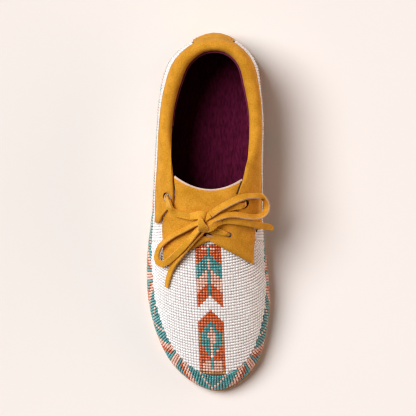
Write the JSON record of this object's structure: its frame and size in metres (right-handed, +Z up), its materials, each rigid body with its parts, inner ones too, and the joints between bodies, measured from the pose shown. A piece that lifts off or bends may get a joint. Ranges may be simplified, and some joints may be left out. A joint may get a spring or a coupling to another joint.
{
  "type": "beaded moccasin",
  "caption": "Right soft-soled moccasin with a glass seed bead upper, a folded suede cuff and a flat suede lace tied in a bow over the tongue.",
  "frame": {"origin": "on the floor, under the middle of the shoe's box without the bow", "axes": "+Z up, -Y towards the toe, +X towards the inner side of the foot"},
  "size_m": [0.0943, 0.265, 0.0712],
  "materials": {
    "suede": "matt mustard suede",
    "suede_lace": "matt mustard suede thong with paler cut edges",
    "rawhide": "tan smoked hide",
    "lining": "dark burgundy cloth",
    "bead_ground": "canvas and thread under the beads",
    "beads_white": "opaque glass seed beads",
    "beads_teal": "opaque glass seed beads",
    "beads_orange": "opaque glass seed beads",
    "beads_pink": "opaque glass seed beads",
    "beads_gold": "opaque glass seed beads",
    "stitching": "waxed thread"
  },
  "bodies": {
    "root": {"sole": "rawhide", "insole": "lining", "upper": "bead_ground", "tongue": "suede", "cuff": "suede", "heel_tab": "suede", "lace_bars": "suede_lace", "lace_knot": "suede_lace", "lace_loop_outer": "suede_lace", "lace_loop_inner": "suede_lace", "lace_end_outer": "suede_lace", "lace_end_inner": "suede_lace"}
  },
  "joints": []
}
